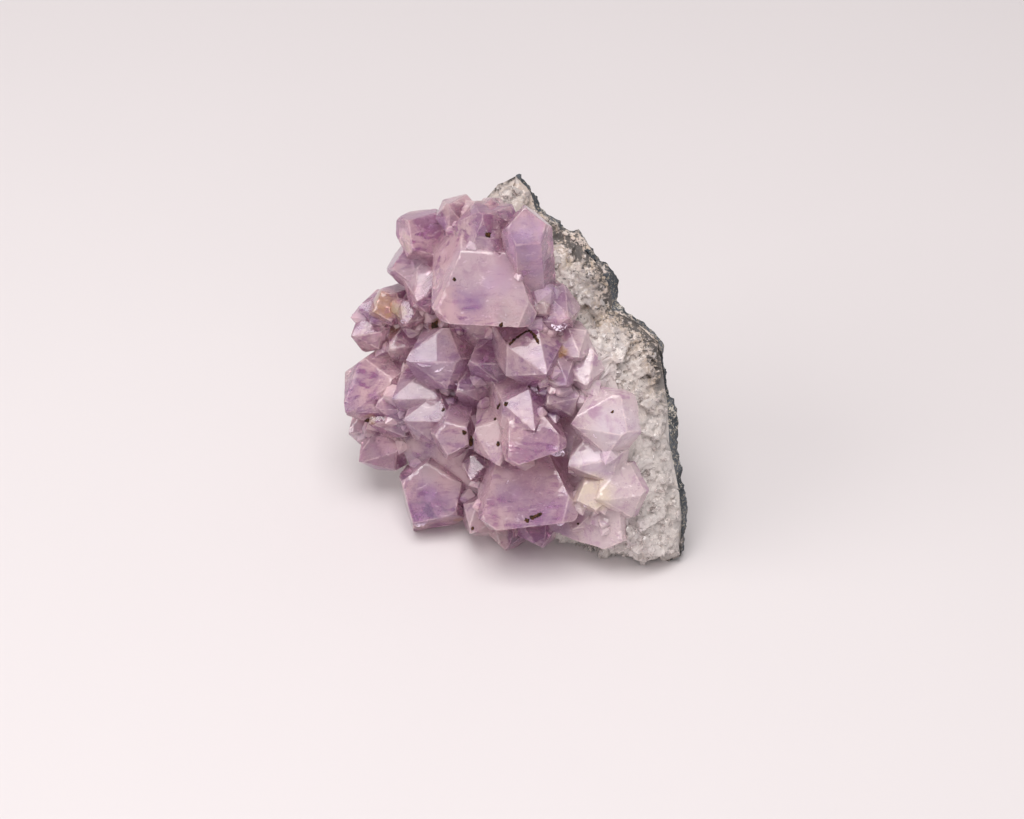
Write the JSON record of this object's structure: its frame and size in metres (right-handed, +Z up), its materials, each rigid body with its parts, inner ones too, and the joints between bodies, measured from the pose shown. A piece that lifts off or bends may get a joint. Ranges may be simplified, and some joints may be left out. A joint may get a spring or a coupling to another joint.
{
  "type": "amethyst cluster",
  "caption": "Broken piece of amethyst geode wall: purple crystal points on a band of pale granular quartz with a thin dark basalt rind, standing on its lower edge.",
  "frame": {"origin": "middle of the bounding box's bottom, on the surface the cluster stands on", "axes": "+Z up; -Y the side the crystal points face; +X the side of the broken edge that shows the quartz and the basalt rind"},
  "size_m": [0.0704, 0.0562, 0.076],
  "materials": {
    "basalt": "rough broken basalt, peppered with pale grains",
    "quartz": "granular broken quartz, white to grey",
    "amethyst": "glassy natural crystal faces, translucent, with rust stains"
  },
  "bodies": {
    "root": {"basalt_rind": "basalt", "quartz_band": "quartz", "amethyst_druse": "amethyst"}
  },
  "joints": []
}
